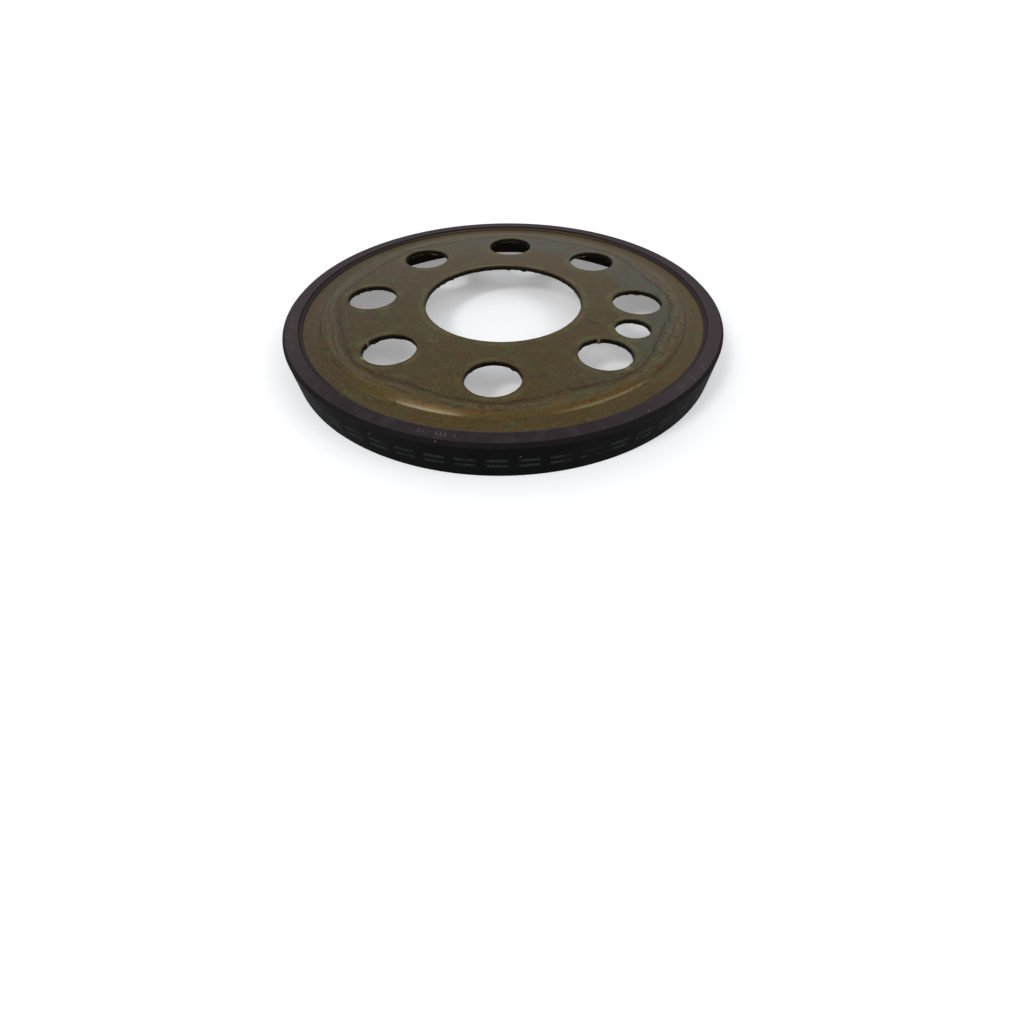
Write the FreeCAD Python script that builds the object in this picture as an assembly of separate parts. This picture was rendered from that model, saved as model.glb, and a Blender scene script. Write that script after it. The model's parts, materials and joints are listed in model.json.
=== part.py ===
import FreeCAD, Part
import os
from math import atan2, cos, radians, sin, tan

# Crankshaft sensor wheel: a stamped steel cup with a moulded rubber ring round its rim.
# Millimetres. Z is the wheel's axis. The wheel lies on the open edge of its rim, plate up,
# so z = 0 is that edge, and the bolt hole nearest the front lies on the -Y axis.

# Steel disc, one stamping
SHEET = 1.2                 # sheet thickness
BORE_DIAMETER = 46.0        # centre bore
BOLT_CIRCLE = 78.5          # pitch circle of the bolt holes and of the dowel hole
BOLT_HOLE_DIAMETER = 14.0
BOLT_HOLES = 8
DOWEL_HOLE_DIAMETER = 9.6
PLATE_DIAMETER = 103.4      # flat middle plate, up to the brow of the step
STEP_RUN = 1.0              # how far the step reaches outwards
STEP_HEIGHT = 0.9           # the plate stands this much above the outer band
BROW_RADIUS = 1.4           # soft edge of the plate, where the step begins
SKIRT_DIAMETER = 120.6      # outside of the turned-down skirt
SKIRT_BEND = 1.1            # inside bend radius of the skirt
BONDED_FLATS = 3            # flats round the outside of that bend, which the rubber hides

# Moulded ring
RING_HEIGHT = 9.25          # from the open edge to the ring's flat top
RING_WALL = 2.2             # rubber outside the skirt
RING_DRAFT = 0.2            # the track is this much narrower at its open edge
RING_COVER = 0.85           # rubber above the steel's outer band
LEDGE_DIAMETER = 114.8      # where the rubber starts on the steel
LEDGE_WIDTH = 0.85          # thin ledge inside the ring's flat top
LEDGE_THICKNESS = 0.3
CHAMFER_WIDTH = 0.95        # bevel between the flat top and the track
CHAMFER_DEPTH = 0.7

# Levels and radii that follow from the sizes above
BAND_TOP = RING_HEIGHT - RING_COVER
PLATE_TOP = BAND_TOP + STEP_HEIGHT
SKIRT_RADIUS = SKIRT_DIAMETER / 2
TRACK_RADIUS = SKIRT_RADIUS + RING_WALL
FRONT = -90.0
HOLE_SPACING = 360.0 / BOLT_HOLES


def around(angle, radius, z=0.0):
    """Point at an angle in degrees round the axis."""
    return FreeCAD.Vector(radius * cos(radians(angle)), radius * sin(radians(angle)), z)


def arc_points(before, corner, after, radius):
    """Points on the arc that rounds one corner: its start, its end and three between them."""
    to_before = (before - corner).normalize()
    to_after = (after - corner).normalize()
    half = to_before.getAngle(to_after) / 2
    centre = corner + (to_before + to_after).normalize() * (radius / sin(half))
    start = corner + to_before * (radius / tan(half))
    end = corner + to_after * (radius / tan(half))
    middle = centre + (corner - centre).normalize() * radius
    early = centre + (start + middle - centre * 2).normalize() * radius
    late = centre + (middle + end - centre * 2).normalize() * radius
    return [start, early, middle, late, end]


def turned(section):
    """Solid of revolution from a closed section of (radius, height, corner radius)."""
    points = [FreeCAD.Vector(r, 0, z) for r, z, _ in section]
    corners = []
    for i, (_, _, radius) in enumerate(section):
        if radius > 0:
            following = points[(i + 1) % len(points)]
            corners.append(arc_points(points[i - 1], points[i], following, radius))
        else:
            corners.append([points[i]])
    edges = []
    for before, corner in zip(corners[-1:] + corners, corners):
        edges.append(Part.LineSegment(before[-1], corner[0]).toShape())
        if len(corner) > 1:
            start, early, middle, late, end = corner
            edges.append(Part.Arc(start, early, middle).toShape())
            edges.append(Part.Arc(middle, late, end).toShape())
    face = Part.Face(Part.Wire(edges))
    return face.revolve(FreeCAD.Vector(0, 0, 0), FreeCAD.Vector(0, 0, 1), 360)


def bonded_bend():
    """Outside of the skirt's bend, where the rubber grips the steel: the same points for both."""
    radius = SKIRT_BEND + SHEET
    turns = [radians(90.0 * i / BONDED_FLATS) for i in range(BONDED_FLATS + 1)]
    return [(SKIRT_RADIUS - radius + radius * sin(t), BAND_TOP - radius + radius * cos(t), 0) for t in turns]


def stamped_cup():
    """The bent sheet before its bolt holes: plate, step, outer band and skirt."""
    bore = BORE_DIAMETER / 2
    brow = PLATE_DIAMETER / 2
    foot = brow + STEP_RUN
    # the lower skin of the step lies one sheet thickness from the upper skin
    shift = SHEET * tan(atan2(STEP_HEIGHT, STEP_RUN) / 2)
    upper_skin = [
        (bore, PLATE_TOP, 0),
        (brow, PLATE_TOP, BROW_RADIUS),
        (foot, BAND_TOP, 0),
    ]
    lower_skin = [
        (SKIRT_RADIUS, 0, 0),
        (SKIRT_RADIUS - SHEET, 0, 0),
        (SKIRT_RADIUS - SHEET, BAND_TOP - SHEET, SKIRT_BEND),
        (foot - shift, BAND_TOP - SHEET, 0),
        (brow - shift, PLATE_TOP - SHEET, 0),
        (bore, PLATE_TOP - SHEET, 0),
    ]
    return turned(upper_skin + bonded_bend() + lower_skin)


def punch(diameter, angle):
    """Round punch through the plate, on the bolt circle."""
    foot = around(angle, BOLT_CIRCLE / 2, PLATE_TOP - 2 * SHEET)
    return Part.makeCylinder(diameter / 2, 3 * SHEET, foot)


def steel_disc():
    """Stamped disc with its bore, bolt holes and dowel hole."""
    disc = stamped_cup()
    punches = [punch(BOLT_HOLE_DIAMETER, FRONT + i * HOLE_SPACING) for i in range(BOLT_HOLES)]
    punches.append(punch(DOWEL_HOLE_DIAMETER, FRONT + 1.5 * HOLE_SPACING))
    return disc.cut(punches)


def sensor_ring():
    """Rubber ring moulded over the edge of the band and down the outside of the skirt."""
    ledge = LEDGE_DIAMETER / 2
    top_inside = ledge + LEDGE_WIDTH
    ledge_top = BAND_TOP + LEDGE_THICKNESS
    outside = [
        (ledge, BAND_TOP, 0),
        (ledge, ledge_top, 0),
        (top_inside, ledge_top, 0),
        (top_inside, RING_HEIGHT, 0),
        (TRACK_RADIUS - CHAMFER_WIDTH, RING_HEIGHT, 0),
        (TRACK_RADIUS, RING_HEIGHT - CHAMFER_DEPTH, 0),
        (TRACK_RADIUS - RING_DRAFT, 0, 0),
        (SKIRT_RADIUS, 0, 0),
    ]
    return turned(outside + bonded_bend()[::-1])


os.makedirs("parts", exist_ok=True)
parts = {"steel_disc": steel_disc(), "sensor_ring": sensor_ring()}
for name, shape in parts.items():
    shape.exportStep("parts/" + name + ".step")
    print(name, "valid", shape.isValid(), "solids", len(shape.Solids), "volume mm3", round(shape.Volume, 1))
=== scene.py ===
# %% [markdown]
# A crankshaft sensor wheel is two things made as one: a steel cup, stamped from sheet, and a rubber ring
# moulded round its rim. It is bolted between a crankshaft and a flywheel, and a sensor reads the track
# on the rubber's outer face. This one is used: its yellow plating has gone olive and brown.
#
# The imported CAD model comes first. It is the frame that every piece here has to fit, so its box and its
# mounts give the sizes below, and only what they don't state is written as a value.

# %% Load the frame
import json
from math import atan2, cos, pi, radians, sin, tan

import bmesh
import bpy
from mathutils import Matrix, Vector, noise


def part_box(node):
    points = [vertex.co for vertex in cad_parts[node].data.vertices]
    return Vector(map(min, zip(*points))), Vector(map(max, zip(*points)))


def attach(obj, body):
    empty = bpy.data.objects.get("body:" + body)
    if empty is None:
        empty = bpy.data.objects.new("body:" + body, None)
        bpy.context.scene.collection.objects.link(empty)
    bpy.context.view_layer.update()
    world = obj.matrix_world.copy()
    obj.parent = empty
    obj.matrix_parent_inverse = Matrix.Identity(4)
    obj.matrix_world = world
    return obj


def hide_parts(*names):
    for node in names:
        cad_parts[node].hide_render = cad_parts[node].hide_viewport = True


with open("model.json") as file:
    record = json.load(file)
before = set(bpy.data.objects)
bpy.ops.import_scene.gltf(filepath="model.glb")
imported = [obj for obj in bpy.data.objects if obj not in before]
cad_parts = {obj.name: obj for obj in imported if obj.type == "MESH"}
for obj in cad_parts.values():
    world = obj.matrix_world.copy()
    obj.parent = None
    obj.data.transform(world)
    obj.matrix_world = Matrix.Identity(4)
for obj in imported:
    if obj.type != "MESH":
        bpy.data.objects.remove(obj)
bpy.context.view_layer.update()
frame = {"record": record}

# %% [markdown]
# The mounts hold the real bore, bolt circle, bolt holes and dowel hole. The top of the steel is the
# plate, the top of the ring is its flat face, and their outermost points are the skirt and the track.

# %% Sizes from the frame
MM = 0.001
mounts = {mount["name"]: mount for mount in frame["record"]["mounts"]}
bore_radius = mounts["centre_bore"]["dims"]["r_mm"] * MM
hole_circle = mounts["bolt_circle"]["dims"]["pcd_mm"] / 2 * MM
hole_count = mounts["bolt_circle"]["dims"]["count"]
hole_radius = mounts["bolt_circle"]["dims"]["hole_r_mm"] * MM
dowel_radius = mounts["dowel_hole"]["dims"]["r_mm"] * MM
dowel_place = Vector(mounts["dowel_hole"]["pos_m"][:2])
plate_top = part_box("steel_disc")[1].z
plate_bottom = mounts["plate_underside"]["pos_m"][2]
skirt_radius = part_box("steel_disc")[1].x
ring_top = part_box("sensor_ring")[1].z
track_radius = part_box("sensor_ring")[1].x
sheet = plate_top - plate_bottom
FRONT = radians(-90)
hole_places = [Vector((cos(a), sin(a))) * hole_circle
               for a in (FRONT + 2 * pi * i / hole_count for i in range(hole_count))]
print("plate top", round(plate_top / MM, 2), "mm, sheet", round(sheet / MM, 2), "mm, holes", hole_count)

# %% [markdown]
# The step, the ledge and the bevel have no mounts, so their sizes are written here, once. The shapes need
# them, and so do the materials, because rust and dirt follow the form.

# %% Sizes of the step, the ledge and the bevel
BROW, FOOT = 51.7, 52.7    # mm from the axis, top and bottom of the step
STEP_HEIGHT = 0.9 * MM     # the plate stands this much above the outer band
PRESSED_FROM = 49.0        # mm from the axis, where the pressed rim starts and the flat plate ends
LEDGE_THICKNESS = 0.3 * MM     # the rubber is this thin where it crept over the outer band
BEVEL_WIDTH = 0.95 * MM    # of the ring's bevel, seen from above
BEVEL_DEPTH = 0.7 * MM
band_top = plate_top - STEP_HEIGHT
ledge_top = band_top + LEDGE_THICKNESS
print("outer band", round(band_top / MM, 2), "mm, ledge", round(ledge_top / MM, 2), "mm above the open edge")

# %% [markdown]
# A material starts from the real one. Colours are written as sRGB hex values, which is how a paint chart
# or a photograph gives them, and one function turns them to the linear values that a renderer adds up.
# One more function adds a node: it sets the node's properties, then fills or links its inputs.


# %% Colours and nodes
def linear(colour):
    """Linear RGBA from an sRGB hex value such as 6B5F43."""
    parts = [int(colour[i:i + 2], 16) / 255 for i in (0, 2, 4)]
    return [c / 12.92 if c <= 0.04045 else ((c + 0.055) / 1.055) ** 2.4 for c in parts] + [1.0]


def add(tree, kind, inputs=None, **settings):
    """Adds a node. An input takes a value, a socket, or a node, which gives its first output."""
    node = tree.nodes.new(kind)
    for name, value in settings.items():
        setattr(node, name, value)
    for name, value in (inputs or {}).items():
        if isinstance(value, bpy.types.Node):
            value = value.outputs[0]
        if isinstance(value, bpy.types.NodeSocket):
            tree.links.new(value, node.inputs[name])
        else:
            node.inputs[name].default_value = value
    return node


def start_material(name):
    """An empty material and the shader that its pattern will drive."""
    material = bpy.data.materials.new(name)
    material.use_nodes = True
    tree = material.node_tree
    tree.nodes.clear()
    shader = add(tree, "ShaderNodeBsdfPrincipled")
    add(tree, "ShaderNodeOutputMaterial", {"Surface": shader})
    return material, tree, shader


print("half grey, 808080, is", round(linear("808080")[0], 3), "in linear light")

# %% [markdown]
# Patterns on a wheel follow its radius and its angle, so both materials start from the same few values,
# in millimetres: the place, the height, the distance from the axis and the angle round it. A pattern's
# scale is then one over its real size. The other functions read as what they do: a soft step between two
# limits makes a mask, masks multiply, and a layer puts one colour over another where a mask says so.


# %% Places, steps and layers
def wheel_places(tree):
    """Place, height, radius in millimetres and angle in radians, from the object's own coordinates."""
    place = add(tree, "ShaderNodeVectorMath",
                {0: add(tree, "ShaderNodeTexCoord").outputs["Object"], "Scale": 1 / MM}, operation="SCALE")
    split = add(tree, "ShaderNodeSeparateXYZ", {0: place})
    level = add(tree, "ShaderNodeVectorMath", {0: place, 1: (1, 1, 0)}, operation="MULTIPLY")
    radius = add(tree, "ShaderNodeVectorMath", {0: level}, operation="LENGTH").outputs["Value"]
    angle = add(tree, "ShaderNodeMath", {0: split.outputs["Y"], 1: split.outputs["X"]}, operation="ARCTAN2")
    return place, split.outputs["Z"], radius, angle


def soft_step(tree, value, start, end):
    """0 below start, 1 above end and smooth between them. With start above end it falls instead."""
    if start < end:
        low, high, low_value, high_value = start, end, 0.0, 1.0
    else:
        low, high, low_value, high_value = end, start, 1.0, 0.0
    return add(tree, "ShaderNodeMapRange", {"Value": value, "From Min": low, "From Max": high,
                                            "To Min": low_value, "To Max": high_value},
               interpolation_type="SMOOTHSTEP")


def times(tree, *values):
    """The product of numbers or masks."""
    product = values[0]
    for value in values[1:]:
        product = add(tree, "ShaderNodeMath", {0: product, 1: value}, operation="MULTIPLY")
    return product


def band(tree, value, rise, fall):
    """1 between two limits: each is soft, given as where the mask is 0 and where it is 1."""
    return times(tree, soft_step(tree, value, *rise), soft_step(tree, value, *fall))


def sector(tree, angle, start, end, fade):
    """1 between two angles in degrees, falling to 0 over the fade outside them."""
    return band(tree, angle, (radians(start - fade), radians(start)), (radians(end + fade), radians(end)))


def spots(tree, place, spacing, size, share, ragged=None, dimensions="2D"):
    """Round spots of one size, one in each cell of the spacing, kept in this share of the cells."""
    cells = add(tree, "ShaderNodeTexVoronoi", {"Vector": place, "Scale": 1 / spacing},
                voronoi_dimensions=dimensions)
    chosen = soft_step(tree, add(tree, "ShaderNodeSeparateColor", {0: cells.outputs["Color"]}),
                       1 - share, 1 - share + 0.01)
    distance = cells.outputs["Distance"]
    if ragged:
        distance = add(tree, "ShaderNodeMath", {0: distance, 1: ragged}, operation="ADD")
    return times(tree, soft_step(tree, distance, size / spacing, size / spacing * 0.6), chosen)


def layer(tree, below, above, mask):
    """One colour over another where the mask is 1."""
    mix = add(tree, "ShaderNodeMix", {"Factor": mask}, data_type="RGBA")
    for socket, colour in ((mix.inputs[6], below), (mix.inputs[7], above)):
        if isinstance(colour, str):
            socket.default_value = linear(colour)
        else:
            tree.links.new(colour, socket)
    return mix.outputs[2]


# %% [markdown]
# Yellow-passivated zinc on mild steel: electroplated zinc dipped in a chromate bath, which leaves a thin
# golden film over dull grey metal. Heat and oil have turned this film dark olive and brown, so it reads
# as a dull metal with a brownish green cast. The colour starts as a ramp over the distance from the axis,
# a little greener past the bolt holes and lighter on the pressed rim.

# %% Yellow-passivated zinc: bands of colour
# distance from the axis in mm, and the colour there
BANDS = ((24, "534424"), (34, "514323"), (43, "544829"), (46.5, "514325"), (48.5, "52411F"),
         (50.5, "5B4D31"), (52.5, "5B4C30"), (54, "574828"), (57, "5A4A29"))

zinc, tree, zinc_shader = start_material("yellow_passivated_zinc_on_steel")
place, height, radius, angle = wheel_places(tree)
flat_place = add(tree, "ShaderNodeVectorMath", {0: place, 1: (1, 1, 0)}, operation="MULTIPLY")
innermost, outermost = BANDS[0][0], BANDS[-1][0]
how_far = add(tree, "ShaderNodeMapRange", {"Value": radius, "From Min": innermost, "From Max": outermost})
ramp = add(tree, "ShaderNodeValToRGB", {0: how_far})
stops = ramp.color_ramp.elements
while len(stops) < len(BANDS):
    stops.new(1.0)
for stop, (distance, colour) in zip(stops, BANDS):
    stop.position = (distance - innermost) / (outermost - innermost)
    stop.color = linear(colour)
metal = ramp.outputs["Color"]
print("zinc is coloured in", len(stops), "bands, from", innermost, "to", outermost, "mm out")

# %% [markdown]
# Over the bands lie patches a few millimetres wide, greener or browner, and smaller clouded streaks. To
# the right of the front, between the holes and the step, the film has bleached to a bluish grey. The left
# side is painted darker, as painted shade.

# %% Yellow-passivated zinc: patches
PATCH_SIZE = 7             # mm
STREAK_SIZE = 2.5          # mm
GREY_FILM = (-25, 85)      # degrees round the axis, where the film is bleached
GREY_FADE = 50             # degrees
GREY_REACH = ((33, 42), (50, 47))      # mm from the axis, where it rises and falls
SHADED_SIDE = (-8, -50)      # mm along X, where the darker left side begins and where it is full
patches = add(tree, "ShaderNodeTexNoise", {"Vector": flat_place, "Scale": 1 / PATCH_SIZE, "Detail": 6,
                                           "Roughness": 0.62})
streaks = add(tree, "ShaderNodeTexNoise", {"Vector": flat_place, "Scale": 1 / STREAK_SIZE, "Detail": 5,
                                           "Roughness": 0.6, "Distortion": 1.2})
in_grey = times(tree, sector(tree, angle, *GREY_FILM, GREY_FADE), band(tree, radius, *GREY_REACH))
metal = layer(tree, metal, "505149", times(tree, in_grey, soft_step(tree, patches, 0.25, 0.5), 0.85))
sideways = add(tree, "ShaderNodeSeparateXYZ", {0: flat_place}).outputs["X"]
# painted shade: the left side is darker, where less light falls
metal = layer(tree, metal, "362B18", times(tree, soft_step(tree, sideways, *SHADED_SIDE), 0.42))
# colour, the pattern and its limits where the colour starts and is full, and its strength
for colour, pattern, start, full, strength in (
        ("52552E", patches, 0.5, 0.66, 0.65),
        ("5C4222", patches, 0.48, 0.34, 0.55),
        ("43341F", streaks, 0.43, 0.3, 0.55),
        ("6F5C3A", streaks, 0.55, 0.72, 0.5)):
    metal = layer(tree, metal, colour, times(tree, soft_step(tree, pattern, start, full), strength))
print("patches about", PATCH_SIZE, "mm wide, streaks about", STREAK_SIZE, "mm")

# %% [markdown]
# The press tool dragged fine lines round the rim. They are noise read at the radius and the angle instead
# of at X and Y. A radian counts for little there, so each speck of noise is drawn out along a circle.

# %% Yellow-passivated zinc: press lines
LINES_PER_MM = 1.4
LINE_RADIAN = 1.5          # mm that a radian round the axis counts as
drawn_out = add(tree, "ShaderNodeCombineXYZ", {"X": radius, "Y": times(tree, angle, LINE_RADIAN)})
press_lines = add(tree, "ShaderNodeTexNoise", {"Vector": drawn_out, "Scale": LINES_PER_MM, "Detail": 5,
                                               "Roughness": 0.7})
pressed = soft_step(tree, radius, PRESSED_FROM - 1, PRESSED_FROM + 2)
metal = layer(tree, metal, "735E3B", times(tree, soft_step(tree, press_lines, 0.54, 0.7), pressed, 0.55))
metal = layer(tree, metal, "3A2D18", times(tree, soft_step(tree, press_lines, 0.44, 0.3), pressed, 0.5))
print("press lines about", round(1 / LINES_PER_MM, 1), "mm apart")

# %% [markdown]
# Old oil that dried under a gasket leaves tide lines. The darkest is thin and purplish brown, and bulges
# outwards round each bolt hole. Fainter ones follow it further out. Each line is a narrow band of one
# wavy distance: the radius, less the bulge, plus a little noise, which is what makes it wander.

# %% Yellow-passivated zinc: tide lines
TIDE_WOBBLE = 1.5          # mm, how far the oil ran unevenly
TIDE_CURL = 8              # mm, over which it did so
TIDE_BULGE = 0.95          # mm, how far a line bulges round each bolt hole
BREAK_SIZE = 6             # mm, of the places where a line fades
# mm from the axis, half width in mm, colour, strength, and mm that the noise is shifted for this line
TIDE_LINES = (
    (47.6, 0.38, "23171B", 1.0, 0),
    (47.9, 0.8, "46341D", 0.55, 0),
    (49.4, 1.0, "676251", 0.4, 3),
    (50.2, 0.28, "3C2D1C", 0.5, 7),
    (51.0, 0.45, "706850", 0.3, 11),
    (45.9, 0.3, "625B40", 0.3, 17),
)
breaks = add(tree, "ShaderNodeTexNoise", {"Vector": flat_place, "Scale": 1 / BREAK_SIZE, "Detail": 4})
from_hole_to_hole = times(tree, angle, float(hole_count))
bulge = times(tree, add(tree, "ShaderNodeMath", {0: from_hole_to_hole}, operation="COSINE"), TIDE_BULGE)
for distance, half_width, colour, strength, shift in TIDE_LINES:
    moved = add(tree, "ShaderNodeVectorMath", {0: flat_place, 1: (shift, shift, 0)}, operation="ADD")
    drift = add(tree, "ShaderNodeTexNoise", {"Vector": moved, "Scale": 1 / TIDE_CURL, "Detail": 7,
                                             "Roughness": 0.62})
    wobble = add(tree, "ShaderNodeMapRange", {"Value": drift, "To Min": -TIDE_WOBBLE, "To Max": TIDE_WOBBLE})
    away = add(tree, "ShaderNodeMath", {0: radius, 1: wobble}, operation="ADD")
    away = add(tree, "ShaderNodeMath", {0: away, 1: bulge}, operation="SUBTRACT")
    away = add(tree, "ShaderNodeMath", {0: away, 1: distance}, operation="SUBTRACT")
    away = add(tree, "ShaderNodeMath", {0: away}, operation="ABSOLUTE")
    fade = add(tree, "ShaderNodeMapRange", {"Value": breaks, "From Min": 0.36, "From Max": 0.52,
                                            "To Min": 0.35})
    on_line = soft_step(tree, away, half_width, half_width * 0.2)
    metal = layer(tree, metal, colour, times(tree, on_line, fade, strength))
print("tide lines:", len(TIDE_LINES))

# %% [markdown]
# The next masks need the distance to the nearest hole edge. For the bolt holes the angle is folded into
# one sector, so that one centre serves all eight. The dowel hole and the bore are measured by themselves.

# %% Yellow-passivated zinc: distance to the holes
pitch = 2 * pi / hole_count
folded = add(tree, "ShaderNodeMath", {0: angle, 1: pitch / 2, 2: -pitch / 2}, operation="WRAP")
folded_x = times(tree, radius, add(tree, "ShaderNodeMath", {0: folded}, operation="COSINE"))
folded_y = times(tree, radius, add(tree, "ShaderNodeMath", {0: folded}, operation="SINE"))
folded_place = add(tree, "ShaderNodeCombineXYZ", {"X": folded_x, "Y": folded_y})
bolt_centre = (hole_circle / MM, 0, 0)
dowel_centre = (*(dowel_place / MM), 0)
edge_gap = add(tree, "ShaderNodeMath", {0: radius, 1: bore_radius / MM}, operation="SUBTRACT")
for where, centre, edge_radius in ((folded_place, bolt_centre, hole_radius),
                                   (flat_place, dowel_centre, dowel_radius)):
    from_centre = add(tree, "ShaderNodeVectorMath", {0: where, 1: centre}, operation="DISTANCE")
    gap = add(tree, "ShaderNodeMath", {0: from_centre.outputs["Value"], 1: edge_radius / MM},
              operation="SUBTRACT")
    edge_gap = add(tree, "ShaderNodeMath", {0: edge_gap, 1: gap}, operation="MINIMUM")
print("bolt holes repeat every", 360 / hole_count, "degrees")

# %% [markdown]
# A punch shears through the plating, so a hole's wall is bare steel, black with oil and rust. Its upper
# edge is dark and a little ragged, and the torn burrs below are yellowish. Round each hole the washer
# left a paler ring. The underside is painted nearly black, as the shade that falls under the plate.

# %% Yellow-passivated zinc: hole edges
GRAIN_SIZE = 0.9           # mm
WASHER_RING = ((0.3, 1.0), (2.6, 1.4))     # mm from a hole's edge, where its paler ring rises and falls
top, bottom = plate_top / MM, plate_bottom / MM
grain = add(tree, "ShaderNodeTexNoise", {"Vector": place, "Scale": 1 / GRAIN_SIZE, "Detail": 6,
                                         "Roughness": 0.65})
washer_ring = band(tree, edge_gap, *WASHER_RING)
metal = layer(tree, metal, "676038", times(tree, washer_ring, soft_step(tree, breaks, 0.42, 0.56), 0.6))
ragged = add(tree, "ShaderNodeMath", {0: edge_gap, 1: grain}, operation="ADD")
at_edge = soft_step(tree, ragged, 0.8, 0.5)
metal = layer(tree, metal, "241B12", times(tree, at_edge, 0.7))
in_hole = soft_step(tree, edge_gap, 0.3, 0.1)
rusted = times(tree, soft_step(tree, patches, 0.5, 0.66), soft_step(tree, height, bottom + 0.3, top))
wall = layer(tree, "070605", "241D13", rusted)
metal = layer(tree, metal, wall, times(tree, in_hole, soft_step(tree, height, top - 0.12, top - 0.28)))
crumb_height = add(tree, "ShaderNodeMath", {0: height, 1: grain}, operation="ADD")
torn = times(tree, soft_step(tree, crumb_height, bottom + 0.62, bottom + 0.5), in_hole,
             soft_step(tree, patches, 0.46, 0.58))
metal = layer(tree, metal, "8C7C4A", torn)
# painted shade: the underside inside the skirt is nearly black, as the shade under the plate
inside_skirt = soft_step(tree, radius, (skirt_radius - sheet / 2) / MM, (skirt_radius - sheet) / MM)
shaded_underside = times(tree, soft_step(tree, height, bottom + 0.05, bottom - 0.05), inside_skirt,
                   soft_step(tree, edge_gap, 0.3, 0.5))
metal = layer(tree, metal, "17130D", times(tree, shaded_underside, 0.9))
print("hole walls", round(top - bottom, 2), "mm high")

# %% [markdown]
# At the front the step and the metal beside it have rusted to orange and dark brown, in smears that run
# round the axis. In two places, where the soft boxes are mirrored, a highlight is painted on the step: its
# slope there is a dull tan, and a pale line is painted along its foot.

# %% Yellow-passivated zinc: the step
RUSTY = (-122, -64)        # degrees round the axis
RUST_FADE = 22             # degrees
SMEARS_PER_MM = 0.9
SMEAR_RADIAN = 12.0        # mm that a radian counts as, so the smears are shorter than the press lines
# middle and half width in degrees of each painted highlight, colours of the slope and of the foot
PAINTED_HIGHLIGHTS = ((-106, 12, "8A7048", "9A8E74"), (-58, 18, "6B5020", "8C8262"))
in_front = sector(tree, angle, *RUSTY, RUST_FADE)
drawn_out = add(tree, "ShaderNodeCombineXYZ", {"X": radius, "Y": times(tree, angle, SMEAR_RADIAN)})
smears = add(tree, "ShaderNodeTexNoise", {"Vector": drawn_out, "Scale": SMEARS_PER_MM, "Detail": 7,
                                          "Roughness": 0.68, "Distortion": 0.6})
on_step = band(tree, radius, (BROW - 0.6, BROW - 0.1), (FOOT + 0.5, FOOT))
near_step = band(tree, radius, (BROW - 3.6, BROW - 1.6), (FOOT + 2.2, FOOT))
at_foot = band(tree, radius, (FOOT - 0.55, FOOT - 0.25), (FOOT + 0.1, FOOT))
rusty_part = times(tree, near_step, in_front)
metal = layer(tree, metal, "76561E", times(tree, rusty_part, soft_step(tree, smears, 0.48, 0.62), 0.7))
metal = layer(tree, metal, "3B2A15", times(tree, rusty_part, soft_step(tree, smears, 0.42, 0.3), 0.7))
metal = layer(tree, metal, "6A6647", times(tree, near_step, soft_step(tree, press_lines, 0.52, 0.64), 0.45))
metal = layer(tree, metal, "6A5630", times(tree, on_step, in_front, soft_step(tree, smears, 0.7, 0.4), 0.8))
# painted highlights: where the soft boxes are mirrored in the step, a tan slope and a pale line at its foot
for middle, half_width, slope_colour, foot_colour in PAINTED_HIGHLIGHTS:
    highlighted = sector(tree, angle, middle - half_width / 3, middle + half_width / 3, half_width * 2 / 3)
    painted_slope_highlight = times(tree, highlighted, on_step, soft_step(tree, grain, 0.3, 0.52), 0.75)
    metal = layer(tree, metal, slope_colour, painted_slope_highlight)
    metal = layer(tree, metal, foot_colour, times(tree, highlighted, at_foot, 0.85))
print("step rusty over", RUSTY[1] - RUSTY[0], "degrees, rubbed in", len(PAINTED_HIGHLIGHTS), "places")

# %% [markdown]
# Small things make the metal read as used: dark pits, a few rusty spots where the plating has gone, and a
# stretch between the holes and the step that is full of specks. All are spots with torn outlines.

# %% Yellow-passivated zinc: pits and spots
PITTED = (-45, 20)         # degrees round the axis, of the stretch full of specks
PITTED_FADE = 8            # degrees
PITTED_REACH = ((46.5, 48), (51.8, 50.8))      # mm from the axis, where it rises and falls
torn_outline = times(tree, add(tree, "ShaderNodeMath", {0: grain, 1: 0.5}, operation="SUBTRACT"), 0.25)
on_plate = soft_step(tree, radius, BROW - 0.3, BROW - 1.2)
in_stretch = times(tree, sector(tree, angle, *PITTED, PITTED_FADE), band(tree, radius, *PITTED_REACH))
# spacing and size in mm, share of the places that hold a spot, where, colour and strength
for spacing, size, share, where, colour, strength in (
        (6.5, 0.3, 0.2, on_plate, "1C140F", 0.75),
        (11.0, 0.9, 0.22, on_plate, "3A2414", 0.5),
        (2.8, 0.6, 0.45, in_stretch, "452210", 0.8),
        (2.1, 0.4, 0.4, in_stretch, "817358", 0.6)):
    spotted = spots(tree, flat_place, spacing, size, share, torn_outline)
    metal = layer(tree, metal, colour, times(tree, spotted, where, strength))
print("full of specks over", PITTED[1] - PITTED[0], "degrees")
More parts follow.
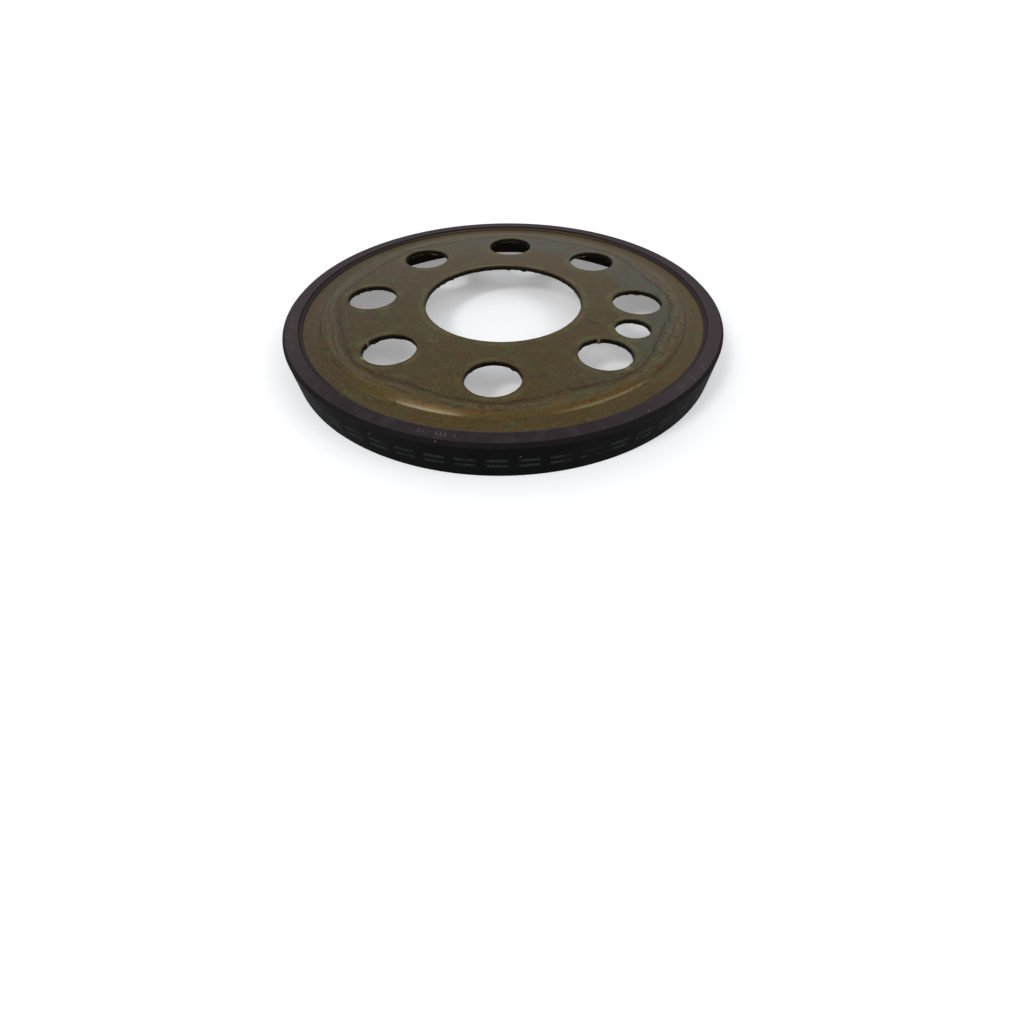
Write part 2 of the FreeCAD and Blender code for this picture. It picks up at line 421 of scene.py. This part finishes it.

# %% [markdown]
# A few marks stand alone, so each is placed one by one. A Mapping node of the texture type moves, turns
# and stretches the coordinates so that the mark's edge lies 1 from its middle, and the grain makes it ragged.

# %% Yellow-passivated zinc: single marks
# place and half sizes in mm, turn in degrees and colour
MARKS = (
    ((43.9, 19.9), (2.3, 1.5), 100, "6C3731"),      # reddish smudge
    ((25.6, -12.4), (2.8, 0.6), -12, "1A120C"),     # short dark scratch
    ((40.4, -32.5), (1.6, 0.8), 51, "6B3A22"),      # rust where the plating has lifted
    ((50.1, -12.5), (1.0, 0.6), 76, "5A3320"),
    ((48.7, -9.0), (0.9, 0.5), 80, "5A3320"),
    ((-33.6, -32.2), (1.2, 0.4), -48, "A79C78"),    # chips on the edges of two bolt holes
    ((-34.2, -24.9), (0.6, 0.35), 66, "9C8A70"),
    ((26.6, -20.9), (0.6, 0.35), 9, "9C8A70"),
    ((32.5, -33.8), (1.0, 0.4), 37, "A79C78"),
)
for (x, y), (half_length, half_width), turn, colour in MARKS:
    from_mark = add(tree, "ShaderNodeMapping", {
        0: flat_place, "Location": (x, y, 0), "Rotation": (0, 0, radians(turn)),
        "Scale": (half_length, half_width, 1)}, vector_type="TEXTURE")
    reach = add(tree, "ShaderNodeVectorMath", {0: from_mark}, operation="LENGTH").outputs["Value"]
    reach = add(tree, "ShaderNodeMath", {0: reach, 1: times(tree, grain, 0.7)}, operation="ADD")
    metal = layer(tree, metal, colour, times(tree, soft_step(tree, reach, 1.4, 0.7), 0.7))
print("single marks:", len(MARKS))

# %% [markdown]
# Last come a fine mottle and the thin film of oil over everything. The grain also drives the roughness
# and a very low bump, a few hundredths of a millimetre high. The passivated film is dull and hides most
# of the metal, so the metallic share is low. It is the same all over, so it is set on the socket itself.

# %% Yellow-passivated zinc: mottle and gloss
MOTTLE_SIZE = 0.4          # mm
OIL_FILM = "1A1000"
OIL_THICKNESS = 0.18       # how much the film of oil darkens what is under it
BUMP_HEIGHT = 0.04 * MM
fine = add(tree, "ShaderNodeTexNoise", {"Vector": place, "Scale": 1 / MOTTLE_SIZE, "Detail": 2})
for colour, pattern, start, full, strength in (
        ("877A5A", grain, 0.55, 0.7, 0.3),
        ("2C2216", grain, 0.46, 0.31, 0.6),
        ("877B60", fine, 0.55, 0.75, 0.2),
        ("2E2618", fine, 0.45, 0.25, 0.35)):
    metal = layer(tree, metal, colour, times(tree, soft_step(tree, pattern, start, full), strength))
metal = layer(tree, metal, OIL_FILM, OIL_THICKNESS)
tree.links.new(metal, zinc_shader.inputs["Base Color"])
zinc_shader.inputs["Metallic"].default_value = 0.22
zinc_shader.inputs["Specular IOR Level"].default_value = 0.08
roughness = add(tree, "ShaderNodeMapRange", {"Value": grain, "To Min": 0.3, "To Max": 0.58})
roughness = add(tree, "ShaderNodeMath", {0: roughness, 1: times(tree, at_edge, 0.2)}, operation="ADD")
tree.links.new(roughness.outputs[0], zinc_shader.inputs["Roughness"])
relief = add(tree, "ShaderNodeMath", {0: grain, 1: press_lines}, operation="ADD")
bump = add(tree, "ShaderNodeBump", {"Height": relief, "Strength": 0.4, "Distance": BUMP_HEIGHT})
tree.links.new(bump.outputs[0], zinc_shader.inputs["Normal"])
print(zinc.name, "has", len(tree.nodes), "nodes")

# %% [markdown]
# Moulded nitrile rubber, filled with magnetic powder: black, with the satin skin of the mould. The track
# is the darkest, black rubber painted darker still as shade, and the bevel is nearly clean. The flat top
# holds a purplish grey dust, and its sides and back are painted lighter, as more dust and as painted sheen.
# The small wall inside the flat top is painted dark as shade, most at the front and the back, and the ledge
# below it is brown there.

# %% Nitrile rubber: dust and oil
CLOUD_SIZE = 4             # mm
MOULD_GRAIN = 0.5          # mm
DUST_AND_SHEEN = ((-30, 170, 50), (-180, -160, 40))     # degrees round the axis: start, end and fade
rubber, tree, rubber_shader = start_material("moulded_nitrile_rubber")
place, height, radius, angle = wheel_places(tree)
mottle = add(tree, "ShaderNodeTexNoise", {"Vector": place, "Scale": 1 / CLOUD_SIZE, "Detail": 5,
                                          "Roughness": 0.6})
grain = add(tree, "ShaderNodeTexNoise", {"Vector": place, "Scale": 1 / MOULD_GRAIN, "Detail": 4,
                                         "Roughness": 0.6})
top, ledge = ring_top / MM, ledge_top / MM
bevel_inside = (track_radius - BEVEL_WIDTH) / MM
on_top = soft_step(tree, radius, bevel_inside + 0.12, bevel_inside - 0.05)
# the track is black rubber painted darker still, as shade
skin = layer(tree, "060606", "1A1718", soft_step(tree, height, top - 0.95, top - 0.7))
skin = layer(tree, skin, "312A2C", on_top)
skin = layer(tree, skin, "433A3B", times(tree, on_top, soft_step(tree, mottle, 0.45, 0.7), 0.6))
skin = layer(tree, skin, "201B1C", times(tree, on_top, soft_step(tree, grain, 0.45, 0.3), 0.5))
# the sides and the back of the flat top are painted lighter: more dust, and painted sheen
dust_and_sheen = add(tree, "ShaderNodeMath", {i: sector(tree, angle, *stretch) for i, stretch in enumerate(DUST_AND_SHEEN)},
            operation="MAXIMUM")
skin = layer(tree, skin, "52474A", times(tree, on_top, dust_and_sheen, 0.5))
sideways = add(tree, "ShaderNodeMath", {0: angle}, operation="COSINE")
sideways = add(tree, "ShaderNodeMath", {0: sideways}, operation="ABSOLUTE")
fore_and_aft = soft_step(tree, sideways, 0.75, 0.45)
# painted shade on the small wall inside the flat top, a little everywhere and most at the front and the back
on_wall = times(tree, on_top, soft_step(tree, height, top - 0.05, top - 0.15))
skin = layer(tree, skin, "1C1717", times(tree, on_wall, 0.25))
skin = layer(tree, skin, "1C1717", times(tree, on_wall, fore_and_aft, 0.75))
on_ledge = times(tree, on_top, soft_step(tree, height, ledge + 0.1, ledge + 0.02))
skin = layer(tree, skin, "524839", times(tree, on_ledge, fore_and_aft))
print("flat top", round(top, 2), "mm high, and the ledge", round(top - ledge, 2), "mm below it")

# %% [markdown]
# The track is printed with pale hatching: upright lines less than half a millimetre apart, in two rows of
# dashes. The sine of a multiple of the angle gives the lines, and the fraction of another the dashes.
# Both multiples are whole numbers for the full turn, so the pattern closes.

# %% Nitrile rubber: hatched dashes on the track
LINE_PITCH = 0.44          # mm between the upright lines
PRINT_PITCH = 7.0          # mm from one dash to the next, round the track
PRINT_SHARE = 0.68         # how much of that is dash
PRINT_ROWS = (3.3, 4.9)    # mm above the open edge
ROW_HALF_WIDTH = 0.36      # mm
PRINTED = (-134, -28)      # degrees round the axis, first and last dash
around = 2 * pi * track_radius / MM
hatch_turn = times(tree, angle, float(round(around / LINE_PITCH)))
hatch = add(tree, "ShaderNodeMath", {0: hatch_turn}, operation="SINE")
dash_turn = times(tree, angle, round(around / PRINT_PITCH) / (2 * pi))
dash = add(tree, "ShaderNodeMath", {0: dash_turn}, operation="FRACT")
on_dash = band(tree, dash, (0.0, 0.03), (PRINT_SHARE + 0.03, PRINT_SHARE))
row_masks = []
for row in PRINT_ROWS:
    away = add(tree, "ShaderNodeMath", {0: height, 1: row}, operation="SUBTRACT")
    away = add(tree, "ShaderNodeMath", {0: away}, operation="ABSOLUTE")
    row_masks.append(soft_step(tree, away, ROW_HALF_WIDTH + 0.05, ROW_HALF_WIDTH - 0.05))
on_row = add(tree, "ShaderNodeMath", {0: row_masks[0], 1: row_masks[1]}, operation="MAXIMUM")
worn = soft_step(tree, mottle, 0.3, 0.6)
on_track = soft_step(tree, radius, track_radius / MM - 0.5, track_radius / MM - 0.4)
ink = times(tree, soft_step(tree, hatch, 0.0, 0.5), on_dash, on_row, sector(tree, angle, *PRINTED, 1), worn,
            on_track)
skin = layer(tree, skin, "46494B", times(tree, ink, 0.8))
print("hatching:", round(around / PRINT_PITCH), "dashes for a full turn, in", len(PRINT_ROWS), "rows")

# %% [markdown]
# The raised dashes on the flat top are modelled further down. They are rubbed paler than the rubber round
# them, and only they stand higher than the flat top, so their height picks them out. Pale specks of dust
# lie everywhere. Rubber has little gloss, and it is duller where the mottle is.

# %% Nitrile rubber: specks and gloss
SPECK_SPACING = 2.0        # mm
SPECK_SIZE = 0.2           # mm
raised = soft_step(tree, height, top + 0.02, top + 0.04)
skin = layer(tree, skin, "6C6264", times(tree, raised, worn, 0.45))
specks = spots(tree, place, SPECK_SPACING, SPECK_SIZE, 0.35, dimensions="3D")
skin = layer(tree, skin, "9C9490", times(tree, specks, 0.6))
tree.links.new(skin, rubber_shader.inputs["Base Color"])
rubber_shader.inputs["Specular IOR Level"].default_value = 0.06
roughness = add(tree, "ShaderNodeMapRange", {"Value": mottle, "To Min": 0.6, "To Max": 0.85})
tree.links.new(roughness.outputs[0], rubber_shader.inputs["Roughness"])
bump = add(tree, "ShaderNodeBump", {"Height": grain, "Strength": 0.4, "Distance": BUMP_HEIGHT / 2})
tree.links.new(bump.outputs[0], rubber_shader.inputs["Normal"])
print(rubber.name, "has", len(tree.nodes), "nodes")

# %% [markdown]
# Everything here was turned or pressed round one axis, so each surface is an outline spun about an axis.
# An outline is a face with one vertex per corner. Bevelling a single vertex rounds that corner with an
# arc, as a press tool or a mould does. Then the face goes, and its edges are spun. The same function
# makes the rim, the ring and the lining of each hole, which is an outline spun about the hole's own axis.


# %% Spin a rounded outline
def spin_outline(bm, corners, steps, centre=(0, 0), arc_segments=8, leave_open=False):
    """Adds (radius, height, rounding) corners spun about an upright axis. An open one lacks its last side."""
    axis = Vector((*centre, 0))
    part = bmesh.new()
    verts = [part.verts.new(axis + Vector((radius, 0, height))) for radius, height, _ in corners]
    part.faces.new(verts)
    for vert, (_, _, rounding) in zip(verts, corners):
        if rounding:
            a, b = [edge.other_vert(vert).co - vert.co for edge in vert.link_edges]
            bmesh.ops.bevel(part, geom=[vert], offset=rounding / tan(a.angle(b) / 2), affect="VERTICES",
                            segments=arc_segments, profile=0.5, material=-1)
    bmesh.ops.delete(part, geom=list(part.faces), context="FACES_ONLY")
    if leave_open:
        last_side = next(e for e in part.edges if set(e.verts) == {verts[0], verts[-1]})
        bmesh.ops.delete(part, geom=[last_side], context="EDGES")
    bmesh.ops.spin(part, geom=list(part.edges), cent=axis, axis=(0, 0, 1), angle=2 * pi, steps=steps,
                   use_merge=True)
    mesh = bpy.data.meshes.new("outline")
    part.to_mesh(mesh)
    part.free()
    bm.from_mesh(mesh)
    bpy.data.meshes.remove(mesh)


# %% [markdown]
# The steel cup: a flat plate, a small step down to an outer band, and a skirt turned down all round. Its
# rim, from the plate's edge to the open edge and back underneath, is one open outline spun once. The
# press leaves a soft brow and a crisp foot on the step, so their roundings differ.

# %% Steel disc: the rim
RIM_STEPS = 480            # round the full turn
SOFT_BEND = 1.4 * MM       # on the outside of the step's bends
CRISP_BEND = 0.2 * MM      # on the inside of them
SKIRT_BEND = 1.1 * MM      # inside bend radius of the skirt
CUT_EDGE = 0.12 * MM       # the sheet's cut edges
plate_seam = PRESSED_FROM * MM
brow_radius = BROW * MM
step_run = (FOOT - BROW) * MM
foot_radius = brow_radius + step_run
# the lower skin of the step lies one sheet thickness from the upper skin
shift = sheet * tan(atan2(STEP_HEIGHT, step_run) / 2)
steel = bmesh.new()
spin_outline(steel, [
    (plate_seam, plate_top, 0),
    (brow_radius, plate_top, SOFT_BEND),
    (foot_radius, band_top, CRISP_BEND),
    (skirt_radius, band_top, SKIRT_BEND + sheet),
    (skirt_radius, 0, CUT_EDGE),
    (skirt_radius - sheet, 0, CUT_EDGE),
    (skirt_radius - sheet, band_top - sheet, SKIRT_BEND),
    (foot_radius - shift, band_top - sheet, SOFT_BEND),
    (brow_radius - shift, plate_bottom, CRISP_BEND),
    (plate_seam, plate_bottom, 0),
], RIM_STEPS, leave_open=True)
print("rim", len(steel.faces), "faces")

# %% [markdown]
# A punch draws the upper edge of its hole inwards, so that edge is rounded, and it tears the lower edge,
# which is sharper. Each hole's lining is a short outline spun about the hole's own axis.

# %% Steel disc: linings of the holes
ROLLED_EDGE = 0.28 * MM    # where the punch went in
TORN_EDGE = 0.1 * MM       # where it came out
EDGE_FLAT = 0.5 * MM       # a narrow flat round each hole, which the plate is filled up to
BORE_STEPS, BOLT_HOLE_STEPS, DOWEL_STEPS = 240, 80, 64
holes = [(Vector((0, 0)), bore_radius, BORE_STEPS)]
holes += [(centre, hole_radius, BOLT_HOLE_STEPS) for centre in hole_places]
holes += [(dowel_place, dowel_radius, DOWEL_STEPS)]
for centre, edge_radius, steps in holes:
    spin_outline(steel, [
        (edge_radius + EDGE_FLAT, plate_top, 0),
        (edge_radius, plate_top, ROLLED_EDGE),
        (edge_radius, plate_bottom, TORN_EDGE),
        (edge_radius + EDGE_FLAT, plate_bottom, 0),
    ], steps, centre, arc_segments=5, leave_open=True)
print("holes lined:", len(holes))

# %% [markdown]
# The plate's two faces are flat with ten round holes. Triangle fill takes the loops of open edges on one
# level and makes the one flat face that lies between them.

# %% Steel disc: the plate's two faces
TINY = 0.001 * MM
for level, up in ((plate_top, 1), (plate_bottom, -1)):
    loops = [e for e in steel.edges if e.is_boundary and all(abs(v.co.z - level) < TINY for v in e.verts)]
    bmesh.ops.triangle_fill(steel, edges=loops, use_beauty=True, use_dissolve=False, normal=(0, 0, up))
print("open edges left", sum(e.is_boundary for e in steel.edges))

# %% [markdown]
# No punched edge is a perfect circle. A little noise, read at each vertex's own place so that it is the
# same on every run, roughens the upper edges and pulls torn burrs out of the lower ones.

# %% Steel disc: burrs
EDGE_ROUGHNESS = 0.05 * MM
BURR_LENGTH = 0.7 * MM
BURR_SIZE = 1.3 * MM
BURR_GAP = 0.12            # of the noise, below which the edge stays clean
for centre, edge_radius, _ in holes:
    for vert in steel.verts:
        outwards = vert.co.xy - centre
        if outwards.length > edge_radius + ROLLED_EDGE or outwards.length < edge_radius - ROLLED_EDGE:
            continue
        rough = noise.noise(vert.co / BURR_SIZE, noise_basis="PERLIN_ORIGINAL")
        vert.co.xy += outwards.normalized() * rough * EDGE_ROUGHNESS
        if vert.co.z < plate_bottom + TORN_EDGE + TINY:
            vert.co.z -= max(0.0, rough - BURR_GAP) * BURR_LENGTH
print("edges roughened:", len(holes))

# %% [markdown]
# A finished mesh becomes an object that stands at the origin, with its place in its mesh, as a CAD node
# has. It rides on the part's one body and stands for the CAD node that it replaces. All its faces are
# shaded smooth, and weighted normals keep the flat ones flat, so only the rounded edges catch the light.


# %% Finish a piece
def finish_piece(bm, name, material, replaced):
    """Makes the mesh an object that rides on the part, with normals that keep flat faces flat."""
    bmesh.ops.recalc_face_normals(bm, faces=bm.faces)
    for face in bm.faces:
        face.smooth = True
    mesh = bpy.data.meshes.new(name)
    bm.to_mesh(mesh)
    bm.free()
    mesh.materials.append(material)
    piece = bpy.data.objects.new(name, mesh)
    bpy.context.scene.collection.objects.link(piece)
    piece.modifiers.new("flat faces stay flat", "WEIGHTED_NORMAL")
    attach(piece, "root")
    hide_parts(replaced)
    print(name, "has", len(mesh.polygons), "faces")


finish_piece(steel, "steel_disc_stamped", zinc, "steel_disc")

# %% [markdown]
# The rubber ring is moulded straight onto the rim, so its inner side is the same outline as the steel's
# outer side, with the same rounding. Its outer side has what a mould gives: small radii on every corner,
# a thin ledge where the rubber crept over the steel, a bevel and a little draft on the track.

# %% Sensor ring
LEDGE_RADIUS = 57.4 * MM
LEDGE_WIDTH = 0.85 * MM
TRACK_DRAFT = 0.2 * MM
MOULD_RADIUS = 0.12 * MM
ring = bmesh.new()
spin_outline(ring, [
    (LEDGE_RADIUS, band_top, 0),
    (LEDGE_RADIUS, ledge_top, MOULD_RADIUS),
    (LEDGE_RADIUS + LEDGE_WIDTH, ledge_top, MOULD_RADIUS),
    (LEDGE_RADIUS + LEDGE_WIDTH, ring_top, MOULD_RADIUS),
    (track_radius - BEVEL_WIDTH, ring_top, MOULD_RADIUS),
    (track_radius, ring_top - BEVEL_DEPTH, MOULD_RADIUS),
    (track_radius - TRACK_DRAFT, 0, MOULD_RADIUS * 2),
    (skirt_radius, 0, 0),
    (skirt_radius, band_top, SKIRT_BEND + sheet),
], RIM_STEPS, arc_segments=5)
print("ring", len(ring.faces), "faces")

# %% [markdown]
# The mould also left rows of plain short dashes on the flat top, which end level with the steel plate.
# Each is a cube turned to its place, mostly sunk in the rubber, and the rows have a gap after each group.

# %% Sensor ring: raised dashes
DASH_ROWS = {-160: 18, -100: 9, -38: 13}    # middle of each row in degrees, and its places for dashes
DASH_SPACING = 1.0 * MM
DASH_GROUP = 4             # the last one of each group is left out
DASH_RADIUS = 60.0 * MM
DASH_SIZE = Vector((1.3, 0.45, 0.4)) * MM   # along the radius, round the axis and upright
for middle, count in DASH_ROWS.items():
    for number in range(count):
        if number % DASH_GROUP == DASH_GROUP - 1:
            continue
        along_row = (number - (count - 1) / 2) * DASH_SPACING
        turn = Matrix.Rotation(radians(middle) + along_row / DASH_RADIUS, 4, "Z")
        seat = Vector((DASH_RADIUS, 0, plate_top - DASH_SIZE.z / 2))
        bmesh.ops.create_cube(ring, size=1, matrix=turn @ Matrix.LocRotScale(seat, None, DASH_SIZE))
print("ring with its dashes", len(ring.faces), "faces")
finish_piece(ring, "sensor_ring_moulded", rubber, "sensor_ring")

# %% [markdown]
# The floor is a plain white sheet that reaches to the horizon. Camera rays, and rays that a surface
# mirrors or lets through, see a little light of its own added, so that it comes out white, and the
# wheel's shadow stays on it. For all other light it is matt paper.

# %% Floor
FLOOR_SIZE = 20.0          # metres
NEAR, FAR = 0.06, 0.22     # metres from the wheel's axis
NEAR_GLOW = 0.28           # of white, added near the wheel
FAR_GLOW = 0.85            # of white, added far from it, where the soft boxes don't reach
floor_mesh = bpy.data.meshes.new("floor")
bm = bmesh.new()
bmesh.ops.create_grid(bm, x_segments=1, y_segments=1, size=FLOOR_SIZE)
bm.to_mesh(floor_mesh)
bm.free()
floor = bpy.data.objects.new("floor", floor_mesh)
bpy.context.scene.collection.objects.link(floor)
paper = bpy.data.materials.new("white_paper_floor")
paper.use_nodes = True
tree = paper.node_tree
tree.nodes.clear()
path = add(tree, "ShaderNodeLightPath")
seen = path.outputs["Is Camera Ray"]
for ray in ("Is Glossy Ray", "Is Transmission Ray"):
    seen = add(tree, "ShaderNodeMath", {0: seen, 1: path.outputs[ray]}, operation="MAXIMUM")
floor_place = add(tree, "ShaderNodeTexCoord").outputs["Object"]
away = add(tree, "ShaderNodeVectorMath", {0: floor_place}, operation="LENGTH").outputs["Value"]
glow_here = add(tree, "ShaderNodeMapRange", {"Value": away, "From Min": NEAR, "From Max": FAR,
                                             "To Min": NEAR_GLOW, "To Max": FAR_GLOW})
glow = add(tree, "ShaderNodeEmission", {"Color": linear("FFFFFF"), "Strength": times(tree, seen, glow_here)})
matt = add(tree, "ShaderNodeBsdfDiffuse", {"Color": linear("F2F2F2")})
add(tree, "ShaderNodeOutputMaterial", {"Surface": add(tree, "ShaderNodeAddShader", {0: glow, 1: matt})})
floor_mesh.materials.append(paper)
print("floor", 2 * FLOOR_SIZE, "m wide")

# %% [markdown]
# The room is a pale, slightly cool light from all round. The camera sees a white backdrop instead, and so
# does a surface that mirrors or lets through what stands behind the wheel.

# %% Room light and backdrop
ROOM_LIGHT = 0.52          # of white, from all round
ROOM_COLOUR = "F3F6FC"     # a slightly cool white
world = bpy.data.worlds.new("pale_room")
bpy.context.scene.world = world
world.use_nodes = True
tree = world.node_tree
tree.nodes.clear()
path = add(tree, "ShaderNodeLightPath")
towards = add(tree, "ShaderNodeSeparateXYZ", {0: add(tree, "ShaderNodeTexCoord").outputs["Generated"]})
mirrored = add(tree, "ShaderNodeMath", {0: path.outputs["Is Glossy Ray"],
                                        1: path.outputs["Is Transmission Ray"]}, operation="MAXIMUM")
behind = times(tree, mirrored, soft_step(tree, towards.outputs["Y"], 0.2, 0.9))
white = add(tree, "ShaderNodeMath", {0: path.outputs["Is Camera Ray"], 1: behind}, operation="MAXIMUM")
backdrop = add(tree, "ShaderNodeMapRange", {"Value": white, "To Min": ROOM_LIGHT})
tint = layer(tree, ROOM_COLOUR, "FFFFFF", white.outputs[0])
sky = add(tree, "ShaderNodeBackground", {"Color": tint, "Strength": backdrop})
add(tree, "ShaderNodeOutputWorld", {"Surface": sky})
print("room light", ROOM_LIGHT, "of white")

# %% [markdown]
# Two soft boxes stand in front of the wheel, one to each side of the camera. The step's slope mirrors them
# into the lens as two bright streaks with a dark gap between, which is what gives the pressed form its
# shape. Each box is placed by its direction from the wheel, and faces it.

# %% Soft boxes
BOX_DISTANCE = 0.7         # metres
# azimuth and elevation in degrees, width and depth in metres, and watts
BOXES = {
    "left": (-138, 46, 0.17, 0.20, 1.55),
    "right": (-22, 43, 0.40, 0.26, 0.8),
}
for side, (azimuth, elevation, width, depth, watts) in BOXES.items():
    lamp = bpy.data.lights.new("soft_box_" + side, "AREA")
    lamp.shape = "RECTANGLE"
    lamp.size = width
    lamp.size_y = depth
    lamp.energy = watts
    box = bpy.data.objects.new("soft_box_" + side, lamp)
    level = cos(radians(elevation))
    direction = Vector((level * cos(radians(azimuth)), level * sin(radians(azimuth)),
                        sin(radians(elevation))))
    box.location = direction * BOX_DISTANCE
    box.rotation_euler = direction.to_track_quat("Z", "Y").to_euler()
    bpy.context.scene.collection.objects.link(box)
    print(box.name, "gives", watts, "watts")

# %% [markdown]
# The camera stands where the photograph was taken: close, and 25 degrees above the plate, with a wide
# lens that looks well down, so the wheel lies in the upper half of the picture.

# %% Camera
CAMERA_PLACE = (9.13, -124.29, 68.05)      # mm
CAMERA_TURN = (37.53, 0.345, 2.843)        # degrees about X, Y and Z
CAMERA_LENS = 14.533                       # mm, on a 36 mm sensor
camera_data = bpy.data.cameras.new("camera")
camera_data.lens = CAMERA_LENS
camera_data.sensor_width = 36.0
camera_data.clip_start = 0.005
camera_data.clip_end = 100.0
camera = bpy.data.objects.new("camera", camera_data)
camera.location = Vector(CAMERA_PLACE) * MM
camera.rotation_euler = [radians(angle) for angle in CAMERA_TURN]
bpy.context.scene.collection.objects.link(camera)
bpy.context.scene.camera = camera
bpy.context.scene.view_settings.view_transform = "Standard"
print("camera", round(camera.location.length / MM), "mm from the wheel's origin")
